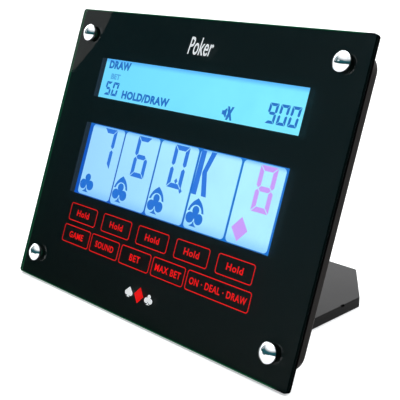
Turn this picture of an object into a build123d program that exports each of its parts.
from build123d import *
import os
from math import cos, radians, sin

# A table-top electronic poker game. A black-printed glass plate is fixed by four domed cap screws to a
# thin two-part casing, which leans back on a foot that folds flat against its back.
#
# World frame: +X to the player's right, +Y away from the player, +Z up, the table at Z = 0, and the
# origin under the middle of the footprint. Pieces of the casing are drawn in the casing's own frame:
# X across the glass, Y up along it from its bottom edge, and depths behind the front of the glass.

# ---- Glass plate -------------------------------------------------------------------------------
GLASS_WIDTH = 177.0
GLASS_HEIGHT = 140.0
GLASS_CORNER = 1.5
GLASS_THICKNESS = 1.4
GLASS_ARRIS = 0.2
MASK_THICKNESS = 0.1
MASK_MARGIN = 0.3
TAPE_THICKNESS = 0.1
TAPE_BORDER = 15.0
LEAN = 20.0

# ---- Cap screws --------------------------------------------------------------------------------
CAP_INSET_X = 11.4
CAP_INSET_Y = 12.4
CAP_RADIUS = 4.2
CAP_RIM = 0.9
CAP_DOME = 1.9
CAP_EDGE = 0.25
CAP_SHANK_RADIUS = 1.5
CAP_SHANK_REACH = 5.5
CAP_WASHER_RADIUS = 2.9
CAP_WASHER_THICKNESS = 1.5
CAP_BOSS_WALL = 1.8
CAP_HOLE_CLEAR = 0.3
THREAD_CLEAR = 0.02

# ---- Casing ------------------------------------------------------------------------------------
FLANGE_THICKNESS = 1.1
CASE_INSET = 5.0
CASE_CORNER = 8.0
CASE_LEAST_CORNER = 0.5
CASE_DEPTH = 15.0
PARTING_DEPTH = 11.4
WALL = 1.6
BACK_EDGE = 1.5
LIP_HEIGHT = 1.5
LIP_WALL = 0.8
LIP_CLEAR = 0.1

# ---- Displays ----------------------------------------------------------------------------------
WINDOW_WIDTH = 129.6
WINDOW_X = -1.4
STATUS_WINDOW_HEIGHT = 19.6
CARD_WINDOW_HEIGHT = 35.8
STATUS_FROM_TOP = 33.5
CARD_FROM_TOP = 74.6
OPENING_MARGIN = 1.4
LCD_SIDE_MARGIN = 3.0
LCD_END_MARGIN = 2.5
LCD_LEDGE = 3.0
LCD_PLATE = 1.1
LCD_GAP = 0.4
HOLDER_CLEAR = 0.15
HOLDER_WALL = 2.0
DIFFUSER_THICKNESS = 0.15
GUIDE_THICKNESS = 2.9
GUIDE_SIDE_ROOM = 2.2
ZEBRA_WIDTH = 1.8
ZEBRA_LENGTH = 118.0
LED_WIDTH = 3.0
LED_LENGTH = 1.4
LED_HEIGHT = 2.2
LED_CLEAR = 0.2

# ---- Touch keys --------------------------------------------------------------------------------
SENSOR_WIDTH = 132.0
SENSOR_HEIGHT = 26.0
SENSOR_BELOW_WINDOW = 2.0
SENSOR_CORNER = 1.0
TAIL_WIDTH = 12.0
TAIL_THICKNESS = 0.15
TAIL_X = 20.0
TAIL_SLOT_CLEAR = 0.4
CONNECTOR_HEIGHT = 2.0
CONNECTOR_DEPTH = 3.0
CONNECTOR_END_WALL = 1.0

# ---- Main board --------------------------------------------------------------------------------
BOARD_THICKNESS = 1.6
BOARD_STACK_GAP = 0.1
BOARD_END_GAP = 5.0
BOARD_CORNER = 2.0
BOARD_COLUMN_GAP = 1.5
BOARD_POST_RADIUS = 2.5
BOARD_POST_X = 60.0
BOARD_POST_INSET = 4.0
BOARD_SCREW_RADIUS = 0.9
BOARD_SCREW_REACH = 4.5
BOARD_HEAD_RADIUS = 1.9
BOARD_HEAD_HEIGHT = 1.0
SCREW_HOLE_CLEAR = 0.25
SCREW_TIP_GAP = 0.2
CHIPS_ABOVE_MIDDLE = 20.0
PASSIVE_COUNT = 5
PASSIVE_PITCH = 8.0
PASSIVE_HALF_LENGTH = 1.0
PASSIVE_WIDTH = 1.2
PASSIVE_HEIGHT = 0.9
PASSIVES_ABOVE_CHIPS = 14.0
CAPACITOR_RADIUS = 2.5
CAPACITOR_HEIGHT = 2.6
CAPACITOR_X = 38.0

# ---- Casing screws -----------------------------------------------------------------------------
CASE_BOSS_RADIUS = 3.0
CASE_BOSS_WALL_GAP = 2.9
CASE_BOSS_INSET_Y = 24.0
CASE_SCREW_RADIUS = 1.2
CASE_SCREW_REACH = 6.5
CASE_HEAD_RADIUS = 2.2
CASE_HEAD_HEIGHT = 1.5
CASE_WELL_CLEAR = 0.4
CASE_WELL_DEPTH = 2.2
CASE_COLUMN_WALL = 1.2
JOINT_GAP = 0.1

# ---- Battery bay -------------------------------------------------------------------------------
CELL_DIAMETER = 10.5
CELL_LENGTH = 44.5
CELL_TIP_RADIUS = 1.9
CELL_TIP_LENGTH = 0.8
CELL_COUNT = 3
CELL_SPACING = 0.8
CELL_CLEAR = 0.15
CONTACT_ROOM = 2.8
CONTACT_THICKNESS = 0.3
CONTACT_WIDTH = 7.0
CONTACT_TAIL_WIDTH = 1.5
BAY_WALL = 1.2
BAY_ABOVE_KNUCKLE = 2.0
BAY_FROM_MIDDLE = 3.0
BOARD_TO_BAY = 1.2

# ---- Battery door ------------------------------------------------------------------------------
DOOR_CLEAR = 0.25
DOOR_TONGUE = 1.2
DOOR_TONGUE_THICKNESS = 0.7
DOOR_OVER_BAY = 0.2
DOOR_GROOVES = 5
DOOR_GROOVE_PITCH = 2.4
DOOR_GROOVE_WIDTH = 1.0
DOOR_GROOVE_DEPTH = 0.5
DOOR_GROOVE_LENGTH = 16.0
DOOR_GROOVES_FROM_EDGE = 6.0
DOOR_CUT_BEYOND = 1.0

# ---- Hump, speaker -----------------------------------------------------------------------------
HUMP_CORNER = 4.0
HUMP_EDGE = 1.0
HUMP_TOP_ROOM = 2.5
SPEAKER_RADIUS = 14.0
SPEAKER_BASKET_RADIUS = 11.0
SPEAKER_RIM = 1.5
SPEAKER_DEPTH = 4.6
SPEAKER_X = 28.0
SPEAKER_RING_WALL = 1.2
SPEAKER_RING_HEIGHT = 2.4
SPEAKER_CLEAR = 0.2
GASKET_THICKNESS = 0.6
GASKET_WIDTH = 2.5
GRILLE_HOLE_RADIUS = 0.9
GRILLE_PITCH = 3.2
GRILLE_RINGS = 3
LEAD_RADIUS = 0.5
LEAD_SPACING = 3.0
LEAD_STEP = 4.0
LEAD_BEND = 1.6

# ---- Reset button ------------------------------------------------------------------------------
RESET_X = -58.0
RESET_FROM_TOP = 32.0
RESET_RADIUS = 1.5
RESET_CLEAR = 0.3
RESET_WELL_RADIUS = 3.0
RESET_WELL_DEPTH = 0.5
RESET_FLANGE_RADIUS = 2.3
RESET_FLANGE_THICKNESS = 0.5
RESET_TRAVEL = 0.6
SWITCH_SIDE = 4.5
SWITCH_HEIGHT = 0.8
SWITCH_PLUNGER_RADIUS = 1.0
SWITCH_PLUNGER_HEIGHT = 0.3

# ---- Hinge -------------------------------------------------------------------------------------
PIN_RADIUS = 1.0
PIN_PRESS_CLEAR = 0.01
PIN_RUNNING_CLEAR = 0.05
KNUCKLE_WALL = 1.5
KNUCKLE_TABLE_GAP = 0.6
KNUCKLE_HUMP_GAP = 0.5
KNUCKLE_INNER_END = 30.0
CASE_KNUCKLE_LENGTH = 5.7
FOOT_KNUCKLE_LENGTH = 11.3
KNUCKLE_GAP = 0.3
HINGE_WASHER = 0.8
HINGE_WASHER_CLEAR = 0.1
HINGE_WASHER_WALL = 1.2
PIN_END_INSET = 0.3
HEEL_REACH = 0.2
HEEL_HALF_HEIGHT = 0.8
WEB_BELOW_TOP = 1.0

# ---- Foot --------------------------------------------------------------------------------------
FOOT_HALF_WIDTH = 60.0
FOOT_REACH = 86.7
FOOT_THICKNESS = 4.6
FOOT_PAD_STAND = 0.5
FOOT_CHAMFER_X = 21.7
FOOT_CHAMFER_Y = 28.5
FOOT_CORNER = 2.0
FOOT_LEAST_CORNER = 0.4
FOOT_TOP_EDGE = 0.4
FOOT_WALL = 1.6
FOOT_HINGE_GAP = 0.9
FOOT_COVER_THICKNESS = 1.3
FOOT_COVER_CLEAR = 0.1
FOOT_RIB = 1.2
FOOT_RIB_COUNT = 3
FOOT_BOSS_RADIUS = 2.6
FOOT_SCREW_RADIUS = 0.8
FOOT_SCREW_REACH = 1.6
FOOT_HEAD_RADIUS = 1.7
FOOT_HEAD_HEIGHT = 0.6
FOOT_HEAD_SINK = 0.1
FOOT_SIDE_SCREW_INSET = 7.0
FOOT_SIDE_SCREW_Y = 22.0
FOOT_CHAMFER_SCREW_Y = 12.0
FOOT_MIDDLE_SCREW_INSET = 8.0
NOTCH_WIDTH = 2.4
NOTCH_DEPTH = 0.8
NOTCH_HEIGHT = 0.9
NOTCH_Y = 45.0
PAD_RADIUS = 4.5
PAD_RECESS = 0.6
PAD_CLEAR = 0.1
PAD_INSET = 10.0

# ---- Depths behind the front of the glass, from front to back -----------------------------------
mask_front = GLASS_THICKNESS
tape_front = mask_front + MASK_THICKNESS
flange_front = tape_front + TAPE_THICKNESS
flange_back = flange_front + FLANGE_THICKNESS
lcd_front = flange_back + LCD_GAP
lcd_middle = lcd_front + LCD_PLATE
lcd_back = lcd_middle + LCD_PLATE
guide_front = lcd_back + DIFFUSER_THICKNESS
guide_back = guide_front + GUIDE_THICKNESS
board_front = guide_back + DIFFUSER_THICKNESS + BOARD_STACK_GAP
board_back = board_front + BOARD_THICKNESS
bay_floor_front = board_back + BOARD_TO_BAY
bay_floor_back = bay_floor_front + BAY_WALL
cell_centre_depth = bay_floor_back + CELL_CLEAR + CELL_DIAMETER / 2
door_inside = cell_centre_depth + CELL_DIAMETER / 2 + DOOR_CLEAR
hump_depth = door_inside + WALL
back_inside = CASE_DEPTH - WALL
speaker_back = door_inside - GASKET_THICKNESS
switch_tip = board_back + SWITCH_HEIGHT + SWITCH_PLUNGER_HEIGHT

# ---- Hinge line, from the table up --------------------------------------------------------------
knuckle_radius = PIN_RADIUS + KNUCKLE_WALL
axis_height = knuckle_radius + KNUCKLE_TABLE_GAP
axis_depth = hump_depth + KNUCKLE_HUMP_GAP + knuckle_radius
lean_sin = sin(radians(LEAN))
lean_cos = cos(radians(LEAN))
case_lift = flange_back * lean_sin
axis_up = (axis_height - case_lift + axis_depth * lean_sin) / lean_cos
axis_y = axis_up * lean_sin + axis_depth * lean_cos
cap_ball_radius = (CAP_RADIUS**2 + CAP_DOME**2) / (2 * CAP_DOME)
cap_ball_depth = cap_ball_radius - CAP_WASHER_THICKNESS - CAP_RIM - CAP_DOME
cap_front = CAP_INSET_Y * lean_sin + cap_ball_depth * lean_cos - cap_ball_radius
middle_of_footprint = (min(cap_front, 0) + axis_y + FOOT_REACH) / 2
case_frame = Location((0, -middle_of_footprint, case_lift)) * Rot(X=90 - LEAN)
foot_frame = Location((0, axis_y - middle_of_footprint, axis_height))

# ---- Places in the plane of the glass -----------------------------------------------------------
middle_y = GLASS_HEIGHT / 2
status_y = GLASS_HEIGHT - STATUS_FROM_TOP
card_y = GLASS_HEIGHT - CARD_FROM_TOP
lcd_width = WINDOW_WIDTH + 2 * LCD_SIDE_MARGIN
displays = {
    "status": (status_y, STATUS_WINDOW_HEIGHT, 2),
    "card": (card_y, CARD_WINDOW_HEIGHT, 4),
}
sensor_y = card_y - CARD_WINDOW_HEIGHT / 2 - SENSOR_BELOW_WINDOW - SENSOR_HEIGHT / 2
cap_x = GLASS_WIDTH / 2 - CAP_INSET_X
cap_places = [(x, y) for x in (-cap_x, cap_x) for y in (CAP_INSET_Y, GLASS_HEIGHT - CAP_INSET_Y)]
case_width = GLASS_WIDTH - 2 * CASE_INSET
case_height = GLASS_HEIGHT - 2 * CASE_INSET
case_boss_x = case_width / 2 - WALL - CASE_BOSS_WALL_GAP - CASE_BOSS_RADIUS
case_boss_places = [
    (x, y)
    for x in (-case_boss_x, case_boss_x)
    for y in (CASE_BOSS_INSET_Y, middle_y, GLASS_HEIGHT - CASE_BOSS_INSET_Y)
]
board_width = 2 * (case_boss_x - CASE_BOSS_RADIUS - CASE_COLUMN_WALL - BOARD_COLUMN_GAP)
board_height = case_height - 2 * (WALL + BOARD_END_GAP)
board_post_up = board_height / 2 - BOARD_POST_INSET
board_places = [
    (x, middle_y + y) for x in (-BOARD_POST_X, BOARD_POST_X) for y in (-board_post_up, board_post_up)
]
bay_bottom = axis_up + knuckle_radius + BAY_ABOVE_KNUCKLE
cell_pitch = CELL_DIAMETER + CELL_SPACING
bay_height = CELL_COUNT * cell_pitch + CELL_SPACING
bay_length = CELL_LENGTH + 2 * CONTACT_ROOM
bay_x = -BAY_FROM_MIDDLE - bay_length / 2
bay_y = bay_bottom + bay_height / 2
cell_rows = [bay_y + (row - (CELL_COUNT - 1) / 2) * cell_pitch for row in range(CELL_COUNT)]
hump_half_width = BAY_FROM_MIDDLE + bay_length + 2 * WALL
hump_bottom = axis_up - knuckle_radius
hump_top = bay_bottom + bay_height + WALL + HUMP_TOP_ROOM
hump_y = (hump_bottom + hump_top) / 2
reset_y = GLASS_HEIGHT - RESET_FROM_TOP
speaker_y = bay_y

# ---- Places along the hinge ---------------------------------------------------------------------
inner_knuckle_end = KNUCKLE_INNER_END + CASE_KNUCKLE_LENGTH
foot_knuckle_start = inner_knuckle_end + KNUCKLE_GAP
foot_knuckle_end = foot_knuckle_start + FOOT_KNUCKLE_LENGTH
washer_start = foot_knuckle_end + HINGE_WASHER_CLEAR
outer_knuckle_start = washer_start + HINGE_WASHER + HINGE_WASHER_CLEAR
outer_knuckle_end = outer_knuckle_start + CASE_KNUCKLE_LENGTH

# ---- Places in the foot, from the hinge line: X across, Y to the back, Z up ----------------------
foot_bottom = -axis_height + FOOT_PAD_STAND
foot_top = foot_bottom + FOOT_THICKNESS
foot_front = knuckle_radius + FOOT_HINGE_GAP
cover_top = foot_bottom + FOOT_COVER_THICKNESS
foot_roof = foot_top - FOOT_WALL
chamfer_x = FOOT_HALF_WIDTH - FOOT_CHAMFER_X
side_screw_x = FOOT_HALF_WIDTH - FOOT_SIDE_SCREW_INSET
side_screw_y = foot_front + FOOT_SIDE_SCREW_Y
chamfer_screw_y = FOOT_REACH - FOOT_CHAMFER_Y + FOOT_CHAMFER_SCREW_Y
foot_screw_places = [
    (-side_screw_x, side_screw_y),
    (side_screw_x, side_screw_y),
    (-chamfer_x, chamfer_screw_y),
    (chamfer_x, chamfer_screw_y),
    (0.0, foot_front + FOOT_MIDDLE_SCREW_INSET),
    (0.0, FOOT_REACH - FOOT_MIDDLE_SCREW_INSET),
]
pad_places = [
    (-FOOT_HALF_WIDTH + PAD_INSET, foot_front + PAD_INSET),
    (FOOT_HALF_WIDTH - PAD_INSET, foot_front + PAD_INSET),
    (-chamfer_x + PAD_INSET, FOOT_REACH - PAD_INSET),
    (chamfer_x - PAD_INSET, FOOT_REACH - PAD_INSET),
]


def panel(width, height, corner, x=0.0, y=0.0):
    """A rounded rectangle in the plane of the glass."""
    return Pos(x, y) * RectangleRounded(width, height, corner)


def slab(outline, front, back):
    """An outline made solid between two depths behind the front of the glass."""
    return Pos(0, 0, -back) * extrude(outline, back - front)


def rod(radius, front, back, x, y):
    """A round bar along the depth of the casing."""
    return slab(Pos(x, y) * Circle(radius), front, back)


def block(x_low, x_high, y_low, y_high, z_low, z_high):
    """A rectangular block between three pairs of limits."""
    size = (x_high - x_low, y_high - y_low, z_high - z_low)
    centre = ((x_low + x_high) / 2, (y_low + y_high) / 2, (z_low + z_high) / 2)
    return Pos(*centre) * Box(*size)


def cross_bar(radius, x_low, x_high, y, z):
    """A round bar along X."""
    return Pos((x_low + x_high) / 2, y, z) * Rot(Y=90) * Cylinder(radius, x_high - x_low)


def joined(solids):
    """Several solids fused into one."""
    whole = solids[0]
    for solid in solids[1:]:
        whole = whole + solid
    return whole


def group(solids):
    """Several separate solids kept as one set."""
    return Compound(children=list(solids))


def both_sides(solids):
    """The solids and their mirror images on the other side of the middle."""
    return [copy for solid in solids for copy in (solid, mirror(solid, about=Plane.YZ))]


# ---- Glass plate, printed mask, tape and touch film ---------------------------------------------


def glass_holes(clearance, front, back):
    return joined([rod(CAP_SHANK_RADIUS + clearance, front, back, x, y) for x, y in cap_places])


def front_glass():
    plate = slab(panel(GLASS_WIDTH, GLASS_HEIGHT, GLASS_CORNER, 0, middle_y), 0, GLASS_THICKNESS)
    rims = plate.edges().group_by(Axis.Z)
    plate = chamfer(rims[0] + rims[-1], GLASS_ARRIS)
    return plate - glass_holes(CAP_HOLE_CLEAR, 0, GLASS_THICKNESS)


def windows(margin, front, back):
    width = WINDOW_WIDTH + 2 * margin
    outlines = [Pos(WINDOW_X, y) * Rectangle(width, height + 2 * margin) for y, height, _ in displays.values()]
    return joined([slab(outline, front, back) for outline in outlines])


def printed_mask():
    width = GLASS_WIDTH - 2 * MASK_MARGIN
    height = GLASS_HEIGHT - 2 * MASK_MARGIN
    film = slab(panel(width, height, GLASS_CORNER, 0, middle_y), mask_front, tape_front)
    return film - windows(0, mask_front, tape_front) - glass_holes(CAP_HOLE_CLEAR, mask_front, tape_front)


def tape_frame():
    width = GLASS_WIDTH - 2 * MASK_MARGIN
    height = GLASS_HEIGHT - 2 * MASK_MARGIN
    outside = panel(width, height, GLASS_CORNER, 0, middle_y)
    inside = Pos(0, middle_y) * Rectangle(width - 2 * TAPE_BORDER, height - 2 * TAPE_BORDER)
    frame = slab(outside - inside, tape_front, flange_front)
    return frame - glass_holes(CAP_HOLE_CLEAR, tape_front, flange_front)


def touch_sensor():
    return slab(panel(SENSOR_WIDTH, SENSOR_HEIGHT, SENSOR_CORNER, 0, sensor_y), tape_front, flange_front)


def tail_y():
    return sensor_y - SENSOR_HEIGHT / 2 + TAIL_THICKNESS


def touch_tail():
    """The flat flexible lead that goes back from the touch film to a socket on the board."""
    y = tail_y()
    x_low = TAIL_X - TAIL_WIDTH / 2
    x_high = TAIL_X + TAIL_WIDTH / 2
    socket_front = board_front - CONNECTOR_HEIGHT
    run = block(x_low, x_high, y, y + TAIL_THICKNESS, -socket_front, -flange_front)
    left = x_low - CONNECTOR_END_WALL
    right = x_high + CONNECTOR_END_WALL
    half = CONNECTOR_DEPTH / 2
    socket = block(left, right, y - half, y + half, -board_front, -socket_front)
    return run + socket


# ---- Cap screws ---------------------------------------------------------------------------------


def cap_screw(x, y):
    top = CAP_WASHER_THICKNESS + CAP_RIM + CAP_DOME
    head = rod(CAP_RADIUS, -top, -CAP_WASHER_THICKNESS, 0, 0)
    head = head & Pos(0, 0, -cap_ball_depth) * Sphere(cap_ball_radius)
    head = fillet(head.edges().group_by(Axis.Z)[0], CAP_EDGE)
    shank = rod(CAP_SHANK_RADIUS, -CAP_WASHER_THICKNESS, flange_back + CAP_SHANK_REACH, 0, 0)
    return Pos(x, y) * (head + shank)


def cap_washer(x, y):
    ring = Circle(CAP_WASHER_RADIUS) - Circle(CAP_SHANK_RADIUS + THREAD_CLEAR)
    return Pos(x, y) * slab(ring, -CAP_WASHER_THICKNESS, 0)


# ---- Front half of the casing -------------------------------------------------------------------


def case_outline(inset=0.0):
    """The outline of the casing, or a smaller one inside it at an even distance."""
    corner = max(CASE_CORNER - inset, CASE_LEAST_CORNER)
    return panel(case_width - 2 * inset, case_height - 2 * inset, corner, 0, middle_y)


def front_case():
    flange = panel(GLASS_WIDTH, GLASS_HEIGHT, GLASS_CORNER, 0, middle_y)
    shell = slab(flange, flange_front, flange_back)
    shell = shell + slab(case_outline() - case_outline(WALL), flange_back, PARTING_DEPTH)
    cap_boss_back = flange_back + CAP_SHANK_REACH + WALL
    posts = [rod(CAP_SHANK_RADIUS + CAP_BOSS_WALL, flange_back, cap_boss_back, x, y) for x, y in cap_places]
    boss_back = PARTING_DEPTH - JOINT_GAP
    posts += [rod(CASE_BOSS_RADIUS, flange_back, boss_back, x, y) for x, y in case_boss_places]
    posts += [rod(BOARD_POST_RADIUS, flange_back, board_front, x, y) for x, y in board_places]
    shell = joined([shell] + posts)
    shell = shell - windows(OPENING_MARGIN, flange_front, flange_back)
    cap_hole_back = flange_back + CAP_SHANK_REACH + SCREW_TIP_GAP
    shell = shell - glass_holes(THREAD_CLEAR, flange_front, cap_hole_back)
    case_hole = CASE_SCREW_RADIUS + THREAD_CLEAR
    case_hole_front = PARTING_DEPTH - CASE_SCREW_REACH
    board_hole = BOARD_SCREW_RADIUS + THREAD_CLEAR
    holes = [rod(case_hole, case_hole_front, PARTING_DEPTH, x, y) for x, y in case_boss_places]
    holes += [rod(board_hole, board_front - BOARD_SCREW_REACH, board_front, x, y) for x, y in board_places]
    slot_y = tail_y() + TAIL_THICKNESS / 2
    slot_width = TAIL_WIDTH + 2 * TAIL_SLOT_CLEAR
    slot_height = TAIL_THICKNESS + 2 * TAIL_SLOT_CLEAR
    holes.append(slab(Pos(TAIL_X, slot_y) * Rectangle(slot_width, slot_height), flange_front, flange_back))
    return shell - joined(holes)


# ---- Displays -----------------------------------------------------------------------------------


def lcd_limits(y, height):
    """The lower edge, the lower edge above the contact ledge, and the upper edge of a display's glass."""
    upper = y + height / 2 + LCD_END_MARGIN
    inner = y - height / 2 - LCD_END_MARGIN
    return inner - LCD_LEDGE, inner, upper


def lcd(name):
    lower, inner, upper = lcd_limits(*displays[name][:2])
    half = lcd_width / 2
    front_plate = block(-half, half, lower, upper, -lcd_middle, -lcd_front)
    back_plate = block(-half, half, inner, upper, -lcd_back, -lcd_middle)
    return Pos(WINDOW_X, 0) * (front_plate + back_plate)


def light_guide(name):
    _, inner, upper = lcd_limits(*displays[name][:2])
    half = lcd_width / 2 - GUIDE_SIDE_ROOM
    return block(WINDOW_X - half, WINDOW_X + half, inner, upper, -guide_back, -guide_front)


def guide_sheet(name, front):
    _, inner, upper = lcd_limits(*displays[name][:2])
    half = lcd_width / 2 - GUIDE_SIDE_ROOM
    return block(WINDOW_X - half, WINDOW_X + half, inner, upper, -front - DIFFUSER_THICKNESS, -front)


def lcd_holder():
    limits = [lcd_limits(y, height) for y, height, _ in displays.values()]
    lowest = min(lower for lower, _, _ in limits) - HOLDER_CLEAR - HOLDER_WALL
    highest = max(upper for _, _, upper in limits) + HOLDER_CLEAR + HOLDER_WALL
    half = lcd_width / 2 + HOLDER_CLEAR
    holder = block(-half - HOLDER_WALL, half + HOLDER_WALL, lowest, highest, -board_front, -flange_back)
    for lower, _, upper in limits:
        pocket = block(-half, half, lower - HOLDER_CLEAR, upper + HOLDER_CLEAR, -board_front, -flange_back)
        holder = holder - pocket
    return Pos(WINDOW_X, 0) * holder


def zebra_strip(name):
    lower, inner, _ = lcd_limits(*displays[name][:2])
    centre = (lower + inner) / 2
    half = ZEBRA_LENGTH / 2
    low = centre - ZEBRA_WIDTH / 2
    high = centre + ZEBRA_WIDTH / 2
    return block(WINDOW_X - half, WINDOW_X + half, low, high, -board_front, -lcd_middle)


def backlight_leds():
    lamps = []
    start = lcd_width / 2 - GUIDE_SIDE_ROOM + LED_CLEAR
    end = start + LED_LENGTH
    for y, height, count in displays.values():
        for lamp in range(count):
            centre = y + ((lamp + 0.5) / count - 0.5) * height
            low = centre - LED_WIDTH / 2
            high = centre + LED_WIDTH / 2
            lamps.append(block(start, end, low, high, -board_front, -board_front + LED_HEIGHT))
    return group([Pos(WINDOW_X, 0) * lamp for lamp in both_sides(lamps)])


# ---- Main board ---------------------------------------------------------------------------------


def main_board():
    board = slab(panel(board_width, board_height, BOARD_CORNER, 0, middle_y), board_front, board_back)
    hole = BOARD_SCREW_RADIUS + SCREW_HOLE_CLEAR
    return board - joined([rod(hole, board_front, board_back, x, y) for x, y in board_places])


def board_parts():
    """The processor, the memory, the driver and the small parts beside them, on the back of the board."""
    chip_sizes = [(0.0, 14.0, 14.0, 1.4), (-26.0, 10.0, 6.0, 1.5), (24.0, 12.0, 8.0, 1.6)]
    base_y = middle_y + CHIPS_ABOVE_MIDDLE
    parts = []
    for x, width, height, thickness in chip_sizes:
        left = x - width / 2
        low = base_y - height / 2
        parts.append(block(left, left + width, low, low + height, -board_back - thickness, -board_back))
    low = base_y + PASSIVES_ABOVE_CHIPS
    for step in range(PASSIVE_COUNT):
        x = PASSIVE_PITCH * (step - (PASSIVE_COUNT - 1) / 2)
        left = x - PASSIVE_HALF_LENGTH
        right = x + PASSIVE_HALF_LENGTH
        parts.append(block(left, right, low, low + PASSIVE_WIDTH, -board_back - PASSIVE_HEIGHT, -board_back))
    parts.append(rod(CAPACITOR_RADIUS, board_back, board_back + CAPACITOR_HEIGHT, CAPACITOR_X, base_y))
    return group(parts)


def board_screw(x, y):
    head = rod(BOARD_HEAD_RADIUS, board_back, board_back + BOARD_HEAD_HEIGHT, x, y)
    tip = board_front - BOARD_SCREW_REACH + SCREW_TIP_GAP
    return head + rod(BOARD_SCREW_RADIUS, tip, board_back, x, y)


def reset_switch():
    square = Pos(RESET_X, reset_y) * Rectangle(SWITCH_SIDE, SWITCH_SIDE)
    body = slab(square, board_back, board_back + SWITCH_HEIGHT)
    return body + rod(SWITCH_PLUNGER_RADIUS, board_back, switch_tip, RESET_X, reset_y)


# ---- Back half of the casing --------------------------------------------------------------------


def knuckle(x_low, x_high):
    """One fixed knuckle of the hinge, on a short arm from the back of the hump."""
    barrel = cross_bar(knuckle_radius, x_low, x_high, axis_up, -axis_depth)
    low = axis_up - knuckle_radius
    high = axis_up + knuckle_radius
    return barrel + block(x_low, x_high, low, high, -axis_depth, -hump_depth + WALL / 2)


def bay_block():
    """The walls and floor that part the batteries from the board."""
    return block(
        bay_x - bay_length / 2 - BAY_WALL,
        bay_x + bay_length / 2 + BAY_WALL,
        bay_y - bay_height / 2 - BAY_WALL,
        bay_y + bay_height / 2 + BAY_WALL,
        -door_inside,
        -bay_floor_front,
    )


def bay_hollow():
    return block(
        bay_x - bay_length / 2,
        bay_x + bay_length / 2,
        bay_y - bay_height / 2,
        bay_y + bay_height / 2,
        -hump_depth,
        -bay_floor_back,
    )


def door_right():
    return bay_x + bay_length / 2 + DOOR_OVER_BAY


def door_cut():
    """The opening that the battery door slides in, out through the side of the hump."""
    x_high = door_right() + DOOR_CLEAR
    x_low = -hump_half_width - DOOR_CUT_BEYOND
    half = bay_height / 2 + DOOR_OVER_BAY + DOOR_CLEAR
    through = block(x_low, x_high, bay_y - half, bay_y + half, -hump_depth, -door_inside + DOOR_CLEAR)
    groove_half = half + DOOR_TONGUE
    groove_back = door_inside + DOOR_TONGUE_THICKNESS + DOOR_CLEAR
    low = bay_y - groove_half
    high = bay_y + groove_half
    return through + block(x_low, x_high, low, high, -groove_back, -door_inside + DOOR_CLEAR)


def battery_door():
    x_high = door_right()
    x_low = -hump_half_width
    half = bay_height / 2 + DOOR_OVER_BAY
    door = block(x_low, x_high, bay_y - half, bay_y + half, -hump_depth, -door_inside)
    tongue_half = half + DOOR_TONGUE
    tongue_back = door_inside + DOOR_TONGUE_THICKNESS
    door = door + block(x_low, x_high, bay_y - tongue_half, bay_y + tongue_half, -tongue_back, -door_inside)
    grooves = []
    low = bay_y - DOOR_GROOVE_LENGTH / 2
    high = bay_y + DOOR_GROOVE_LENGTH / 2
    floor = -hump_depth + DOOR_GROOVE_DEPTH
    for line in range(DOOR_GROOVES):
        x = x_low + DOOR_GROOVES_FROM_EDGE + line * DOOR_GROOVE_PITCH
        grooves.append(block(x, x + DOOR_GROOVE_WIDTH, low, high, -hump_depth, floor))
    return door - joined(grooves)


def grille_places():
    """Hole places in rings about the middle of the speaker."""
    places = [(0.0, 0.0)]
    for ring in range(1, GRILLE_RINGS + 1):
        for spoke in range(6 * ring):
            corner = Vector(ring * GRILLE_PITCH, 0, 0).rotate(Axis.Z, 60.0 * spoke / ring)
            places.append((corner.X, corner.Y))
    return [(SPEAKER_X + x, speaker_y + y) for x, y in places]


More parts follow.
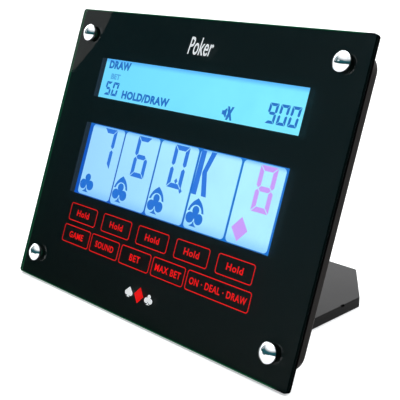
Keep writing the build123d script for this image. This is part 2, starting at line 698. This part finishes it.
def rear_cover():
    back = slab(case_outline(), PARTING_DEPTH, CASE_DEPTH)
    back = fillet(back.edges().group_by(Axis.Z)[0], BACK_EDGE)
    hump_size = (2 * hump_half_width, hump_top - hump_bottom)
    hump = slab(panel(*hump_size, HUMP_CORNER, 0, hump_y), back_inside, hump_depth)
    hump = fillet(hump.edges().group_by(Axis.Z)[0], HUMP_EDGE)
    shell = back + hump
    shell = shell - slab(case_outline(WALL), PARTING_DEPTH, back_inside)
    inside_size = (hump_size[0] - 2 * WALL, hump_size[1] - 2 * WALL)
    shell = shell - slab(panel(*inside_size, HUMP_CORNER - WALL, 0, hump_y), PARTING_DEPTH, door_inside)
    lip_outside = case_outline(WALL + LIP_CLEAR)
    lip_inside = case_outline(WALL + LIP_CLEAR + LIP_WALL)
    shell = shell + slab(lip_outside - lip_inside, PARTING_DEPTH - LIP_HEIGHT, back_inside)
    column_radius = CASE_HEAD_RADIUS + CASE_WELL_CLEAR + CASE_COLUMN_WALL
    column_back = CASE_DEPTH - WALL / 2
    columns = [rod(column_radius, PARTING_DEPTH, column_back, x, y) for x, y in case_boss_places]
    ring_radius = SPEAKER_RADIUS + SPEAKER_CLEAR
    ring = Circle(ring_radius + SPEAKER_RING_WALL) - Circle(ring_radius)
    ring_front = door_inside - SPEAKER_RING_HEIGHT
    columns.append(slab(Pos(SPEAKER_X, speaker_y) * ring, ring_front, door_inside + WALL / 2))
    inner = knuckle(KNUCKLE_INNER_END, inner_knuckle_end)
    outer = knuckle(outer_knuckle_start, outer_knuckle_end)
    shell = joined([shell, bay_block()] + columns + both_sides([inner, outer]))
    cuts = [bay_hollow(), door_cut()]
    well = CASE_HEAD_RADIUS + CASE_WELL_CLEAR
    cuts += [rod(well, CASE_DEPTH - CASE_WELL_DEPTH, CASE_DEPTH, x, y) for x, y in case_boss_places]
    hole = CASE_SCREW_RADIUS + SCREW_HOLE_CLEAR
    cuts += [rod(hole, PARTING_DEPTH, CASE_DEPTH, x, y) for x, y in case_boss_places]
    cuts += [rod(GRILLE_HOLE_RADIUS, door_inside, hump_depth, x, y) for x, y in grille_places()]
    cuts.append(rod(RESET_RADIUS + RESET_CLEAR, back_inside, CASE_DEPTH, RESET_X, reset_y))
    cuts.append(rod(RESET_WELL_RADIUS, CASE_DEPTH - RESET_WELL_DEPTH, CASE_DEPTH, RESET_X, reset_y))
    pin_hole = PIN_RADIUS + PIN_PRESS_CLEAR
    cuts.append(cross_bar(pin_hole, -outer_knuckle_end, outer_knuckle_end, axis_up, -axis_depth))
    for y in cell_rows:
        tail = CONTACT_TAIL_WIDTH + 2 * CELL_CLEAR
        for x in (contact_x(-1), contact_x(1)):
            slot = Pos(x, y) * Rectangle(CONTACT_THICKNESS + 2 * CELL_CLEAR, tail)
            cuts.append(slab(slot, bay_floor_front, bay_floor_back))
    return shell - joined(cuts)


def case_screw(x, y):
    seat = CASE_DEPTH - CASE_WELL_DEPTH
    head = rod(CASE_HEAD_RADIUS, seat, seat + CASE_HEAD_HEIGHT, x, y)
    tip = PARTING_DEPTH - CASE_SCREW_REACH + SCREW_TIP_GAP
    return head + rod(CASE_SCREW_RADIUS, tip, seat, x, y)


# ---- Batteries and their contacts ---------------------------------------------------------------


def cell_side(row):
    """Every second cell lies the other way round."""
    return 1 if row % 2 == 0 else -1


def battery_cell(row):
    side = cell_side(row)
    y = cell_rows[row]
    body = CELL_LENGTH - CELL_TIP_LENGTH
    low = bay_x - side * CELL_TIP_LENGTH / 2 - body / 2
    can = cross_bar(CELL_DIAMETER / 2, low, low + body, y, -cell_centre_depth)
    tip_end = bay_x + side * CELL_LENGTH / 2
    tip_low = min(tip_end, tip_end - side * 2 * CELL_TIP_LENGTH)
    tip = cross_bar(CELL_TIP_RADIUS, tip_low, tip_low + 2 * CELL_TIP_LENGTH, y, -cell_centre_depth)
    return can + tip


def contact_x(side):
    """The middle of a contact plate against the end wall of the bay."""
    return bay_x + side * (bay_length / 2 - CONTACT_THICKNESS / 2)


def contact_plate(side, y):
    """A flat contact with a tail that goes through the bay floor to the board."""
    x = contact_x(side)
    half = CONTACT_THICKNESS / 2
    low = -cell_centre_depth - CONTACT_WIDTH / 2
    high = -cell_centre_depth + CONTACT_WIDTH / 2
    plate = block(x - half, x + half, y - CONTACT_WIDTH / 2, y + CONTACT_WIDTH / 2, low, high)
    tail_half = CONTACT_TAIL_WIDTH / 2
    return plate + block(x - half, x + half, y - tail_half, y + tail_half, high, -board_back)


def battery_plate(row):
    """The flat contact under the raised tip of a cell, bent forward to meet it."""
    side = cell_side(row)
    y = cell_rows[row]
    plate = contact_plate(side, y)
    reach = CONTACT_ROOM - CONTACT_THICKNESS
    start = bay_x + side * (CELL_LENGTH / 2)
    low = min(start, start + side * reach)
    dimple = cross_bar(CELL_TIP_RADIUS, low, low + reach, y, -cell_centre_depth)
    return plate + dimple


def battery_spring(row):
    """The springy contact behind the flat end of a cell: a plate with a folded leaf."""
    side = -cell_side(row)
    y = cell_rows[row]
    wall = contact_x(side) - side * CONTACT_THICKNESS / 2
    end = bay_x + side * CELL_LENGTH / 2
    half = CONTACT_WIDTH / 2
    centre = -cell_centre_depth
    leaf = Polyline(
        (wall, centre + half),
        (end, centre),
        (wall, centre - half),
        (wall, centre - half + CONTACT_THICKNESS),
        (end + side * 2 * CONTACT_THICKNESS, centre),
        (wall, centre + half - CONTACT_THICKNESS),
        close=True,
    )
    face = Plane.XZ.offset(-y - half / 2) * make_face(leaf)
    return contact_plate(side, y) + extrude(face, half)


# ---- Speaker ------------------------------------------------------------------------------------


def speaker():
    rim_front = speaker_back - SPEAKER_RIM
    rim = rod(SPEAKER_RADIUS, rim_front, speaker_back, SPEAKER_X, speaker_y)
    return rim + rod(SPEAKER_BASKET_RADIUS, speaker_back - SPEAKER_DEPTH, rim_front, SPEAKER_X, speaker_y)


def speaker_gasket():
    ring = Circle(SPEAKER_RADIUS) - Circle(SPEAKER_RADIUS - GASKET_WIDTH)
    return slab(Pos(SPEAKER_X, speaker_y) * ring, speaker_back, door_inside)


def speaker_lead(side):
    """One wire from the back of the speaker down to the board, with an easy step sideways."""
    x = SPEAKER_X + side * LEAD_SPACING / 2
    top = -(speaker_back - SPEAKER_DEPTH)
    bottom = -board_back
    middle = (top + bottom) / 2
    step = LEAD_STEP / 2
    path = FilletPolyline(
        (x, speaker_y - step, top),
        (x, speaker_y - step, middle),
        (x, speaker_y + step, middle),
        (x, speaker_y + step, bottom),
        radius=LEAD_BEND,
    )
    return sweep(Plane(origin=path @ 0, z_dir=path % 0) * Circle(LEAD_RADIUS), path)


# ---- Reset button -------------------------------------------------------------------------------


def reset_button():
    """A short sprung pin in a shallow well on the back, kept in by its own collar."""
    stem_front = switch_tip + RESET_TRAVEL + JOINT_GAP
    stem = rod(RESET_RADIUS, stem_front, CASE_DEPTH - RESET_WELL_DEPTH, RESET_X, reset_y)
    collar_back = back_inside - JOINT_GAP
    collar_front = collar_back - RESET_FLANGE_THICKNESS
    return stem + rod(RESET_FLANGE_RADIUS, collar_front, collar_back, RESET_X, reset_y)


# ---- Hinge --------------------------------------------------------------------------------------


def hinge_pin():
    low = KNUCKLE_INNER_END + PIN_END_INSET
    high = outer_knuckle_end - PIN_END_INSET
    return cross_bar(PIN_RADIUS, low, high, axis_up, -axis_depth)


def hinge_washer():
    end = washer_start + HINGE_WASHER
    ring = cross_bar(PIN_RADIUS + HINGE_WASHER_WALL, washer_start, end, axis_up, -axis_depth)
    return ring - cross_bar(PIN_RADIUS + PIN_PRESS_CLEAR, washer_start, end, axis_up, -axis_depth)


# ---- Foot, drawn about the hinge line: Y to the back, Z up --------------------------------------


def foot_outline(inset=0.0):
    """The foot seen from above: a rectangle with its two rear corners cut off."""
    half = FOOT_HALF_WIDTH - inset
    rear = FOOT_REACH - inset
    front = foot_front + inset
    slope = inset * 0.5
    shape = make_face(
        Polyline(
            (-half, front),
            (half, front),
            (half, FOOT_REACH - FOOT_CHAMFER_Y - slope),
            (chamfer_x - slope, rear),
            (-(chamfer_x - slope), rear),
            (-half, FOOT_REACH - FOOT_CHAMFER_Y - slope),
            close=True,
        )
    )
    return fillet(shape.vertices(), max(FOOT_CORNER - inset, FOOT_LEAST_CORNER))


def upright(radius, z_low, z_high, x, y):
    """A round bar that stands up in the foot."""
    return Pos(x, y, z_low) * extrude(Circle(radius), z_high - z_low)


def foot_knuckle():
    """The foot's own knuckle, with the heel that stops the foot when it is fully open."""
    barrel = cross_bar(knuckle_radius, foot_knuckle_start, foot_knuckle_end, 0, 0)
    web_top = min(foot_top, knuckle_radius) - WEB_BELOW_TOP
    web_back = foot_front + FOOT_WALL
    web = block(foot_knuckle_start, foot_knuckle_end, 0, web_back, -knuckle_radius, web_top)
    heel_end = knuckle_radius + HEEL_REACH
    heel = block(foot_knuckle_start, foot_knuckle_end, -heel_end, 0, -HEEL_HALF_HEIGHT, HEEL_HALF_HEIGHT)
    return barrel + web + heel


def foot_shell():
    shell = Pos(0, 0, foot_bottom) * extrude(foot_outline(), FOOT_THICKNESS)
    shell = fillet(shell.edges().group_by(Axis.Z)[-1], FOOT_TOP_EDGE)
    shell = shell - Pos(0, 0, foot_bottom) * extrude(foot_outline(FOOT_WALL), foot_roof - foot_bottom)
    post_top = foot_roof + FOOT_WALL / 2
    posts = [upright(FOOT_BOSS_RADIUS, cover_top, post_top, x, y) for x, y in foot_screw_places]
    inner_depth = FOOT_REACH - foot_front
    for rib in range(FOOT_RIB_COUNT):
        y = foot_front + inner_depth * (rib + 1) / (FOOT_RIB_COUNT + 1)
        bar = block(-FOOT_HALF_WIDTH, FOOT_HALF_WIDTH, y, y + FOOT_RIB, cover_top, foot_roof)
        posts.append(bar & Pos(0, 0, foot_bottom) * extrude(foot_outline(FOOT_WALL / 2), FOOT_THICKNESS))
    shell = joined([shell] + posts + both_sides([foot_knuckle()]))
    hole = FOOT_SCREW_RADIUS + THREAD_CLEAR
    hole_top = cover_top + FOOT_SCREW_REACH + SCREW_TIP_GAP
    cuts = [upright(hole, cover_top, hole_top, x, y) for x, y in foot_screw_places]
    pin_hole = PIN_RADIUS + PIN_RUNNING_CLEAR
    cuts += both_sides([cross_bar(pin_hole, foot_knuckle_start, foot_knuckle_end, 0, 0)])
    notch_inside = FOOT_HALF_WIDTH - NOTCH_DEPTH
    low = NOTCH_Y - NOTCH_WIDTH / 2
    notch = block(notch_inside, FOOT_HALF_WIDTH, low, low + NOTCH_WIDTH, foot_top - NOTCH_HEIGHT, foot_top)
    cuts += both_sides([notch])
    return shell - joined(cuts)


def foot_cover():
    """The plate that closes the foot from below, let into its rim."""
    outline = foot_outline(FOOT_WALL + FOOT_COVER_CLEAR)
    cover = Pos(0, 0, foot_bottom) * extrude(outline, FOOT_COVER_THICKNESS)
    pad_seat = PAD_RADIUS + PAD_CLEAR
    cuts = [upright(pad_seat, foot_bottom, foot_bottom + PAD_RECESS, x, y) for x, y in pad_places]
    well = FOOT_HEAD_RADIUS + SCREW_HOLE_CLEAR
    hole = FOOT_SCREW_RADIUS + SCREW_HOLE_CLEAR
    seat = foot_bottom + FOOT_HEAD_HEIGHT
    cuts += [upright(well, foot_bottom, seat, x, y) for x, y in foot_screw_places]
    cuts += [upright(hole, foot_bottom, cover_top, x, y) for x, y in foot_screw_places]
    return cover - joined(cuts)


def foot_screw(x, y):
    seat = foot_bottom + FOOT_HEAD_HEIGHT
    head = upright(FOOT_HEAD_RADIUS, foot_bottom + FOOT_HEAD_SINK, seat, x, y)
    return head + upright(FOOT_SCREW_RADIUS, seat, cover_top + FOOT_SCREW_REACH, x, y)


def foot_pad(x, y):
    pad = upright(PAD_RADIUS, -axis_height, foot_bottom + PAD_RECESS, x, y)
    return fillet(pad.edges().group_by(Axis.Z)[0], FOOT_PAD_STAND / 2)


# ---- Every piece, by name -----------------------------------------------------------------------
case_pieces = {
    "front_glass": front_glass(),
    "printed_mask": printed_mask(),
    "tape_frame": tape_frame(),
    "touch_sensor": touch_sensor(),
    "touch_tail": touch_tail(),
    "cap_screws": group([cap_screw(x, y) for x, y in cap_places]),
    "cap_washers": group([cap_washer(x, y) for x, y in cap_places]),
    "front_case": front_case(),
    "lcd_holder": lcd_holder(),
    "status_lcd": lcd("status"),
    "card_lcd": lcd("card"),
    "status_light_guide": light_guide("status"),
    "card_light_guide": light_guide("card"),
    "diffuser_sheets": group([guide_sheet(name, lcd_back) for name in displays]),
    "reflector_sheets": group([guide_sheet(name, guide_back) for name in displays]),
    "zebra_strips": group([zebra_strip(name) for name in displays]),
    "backlight_leds": backlight_leds(),
    "main_board": main_board(),
    "board_parts": board_parts(),
    "board_screws": group([board_screw(x, y) for x, y in board_places]),
    "reset_switch": reset_switch(),
    "rear_cover": rear_cover(),
    "case_screws": group([case_screw(x, y) for x, y in case_boss_places]),
    "battery_cells": group([battery_cell(row) for row in range(CELL_COUNT)]),
    "battery_plates": group([battery_plate(row) for row in range(CELL_COUNT)]),
    "battery_springs": group([battery_spring(row) for row in range(CELL_COUNT)]),
    "battery_door": battery_door(),
    "speaker": speaker(),
    "speaker_gasket": speaker_gasket(),
    "speaker_leads": group([speaker_lead(side) for side in (-1, 1)]),
    "reset_button": reset_button(),
    "hinge_pins": group(both_sides([hinge_pin()])),
    "hinge_washers": group(both_sides([hinge_washer()])),
}
foot_pieces = {
    "foot_shell": foot_shell(),
    "foot_cover": foot_cover(),
    "foot_screws": group([foot_screw(x, y) for x, y in foot_screw_places]),
    "foot_pads": group([foot_pad(x, y) for x, y in pad_places]),
}

os.makedirs("parts", exist_ok=True)
for name, piece in case_pieces.items():
    export_step(case_frame * piece, f"parts/{name}.step")
for name, piece in foot_pieces.items():
    export_step(foot_frame * piece, f"parts/{name}.step")

# Where the moving pieces turn and slide, in world millimetres.
print("hinge line through", foot_frame.position)
print("reset button centre", (case_frame * Pos(RESET_X, reset_y, -CASE_DEPTH)).position)
print("battery door centre", (case_frame * Pos(bay_x, bay_y, -hump_depth)).position)
print("top of glass", GLASS_HEIGHT * lean_cos + case_lift)
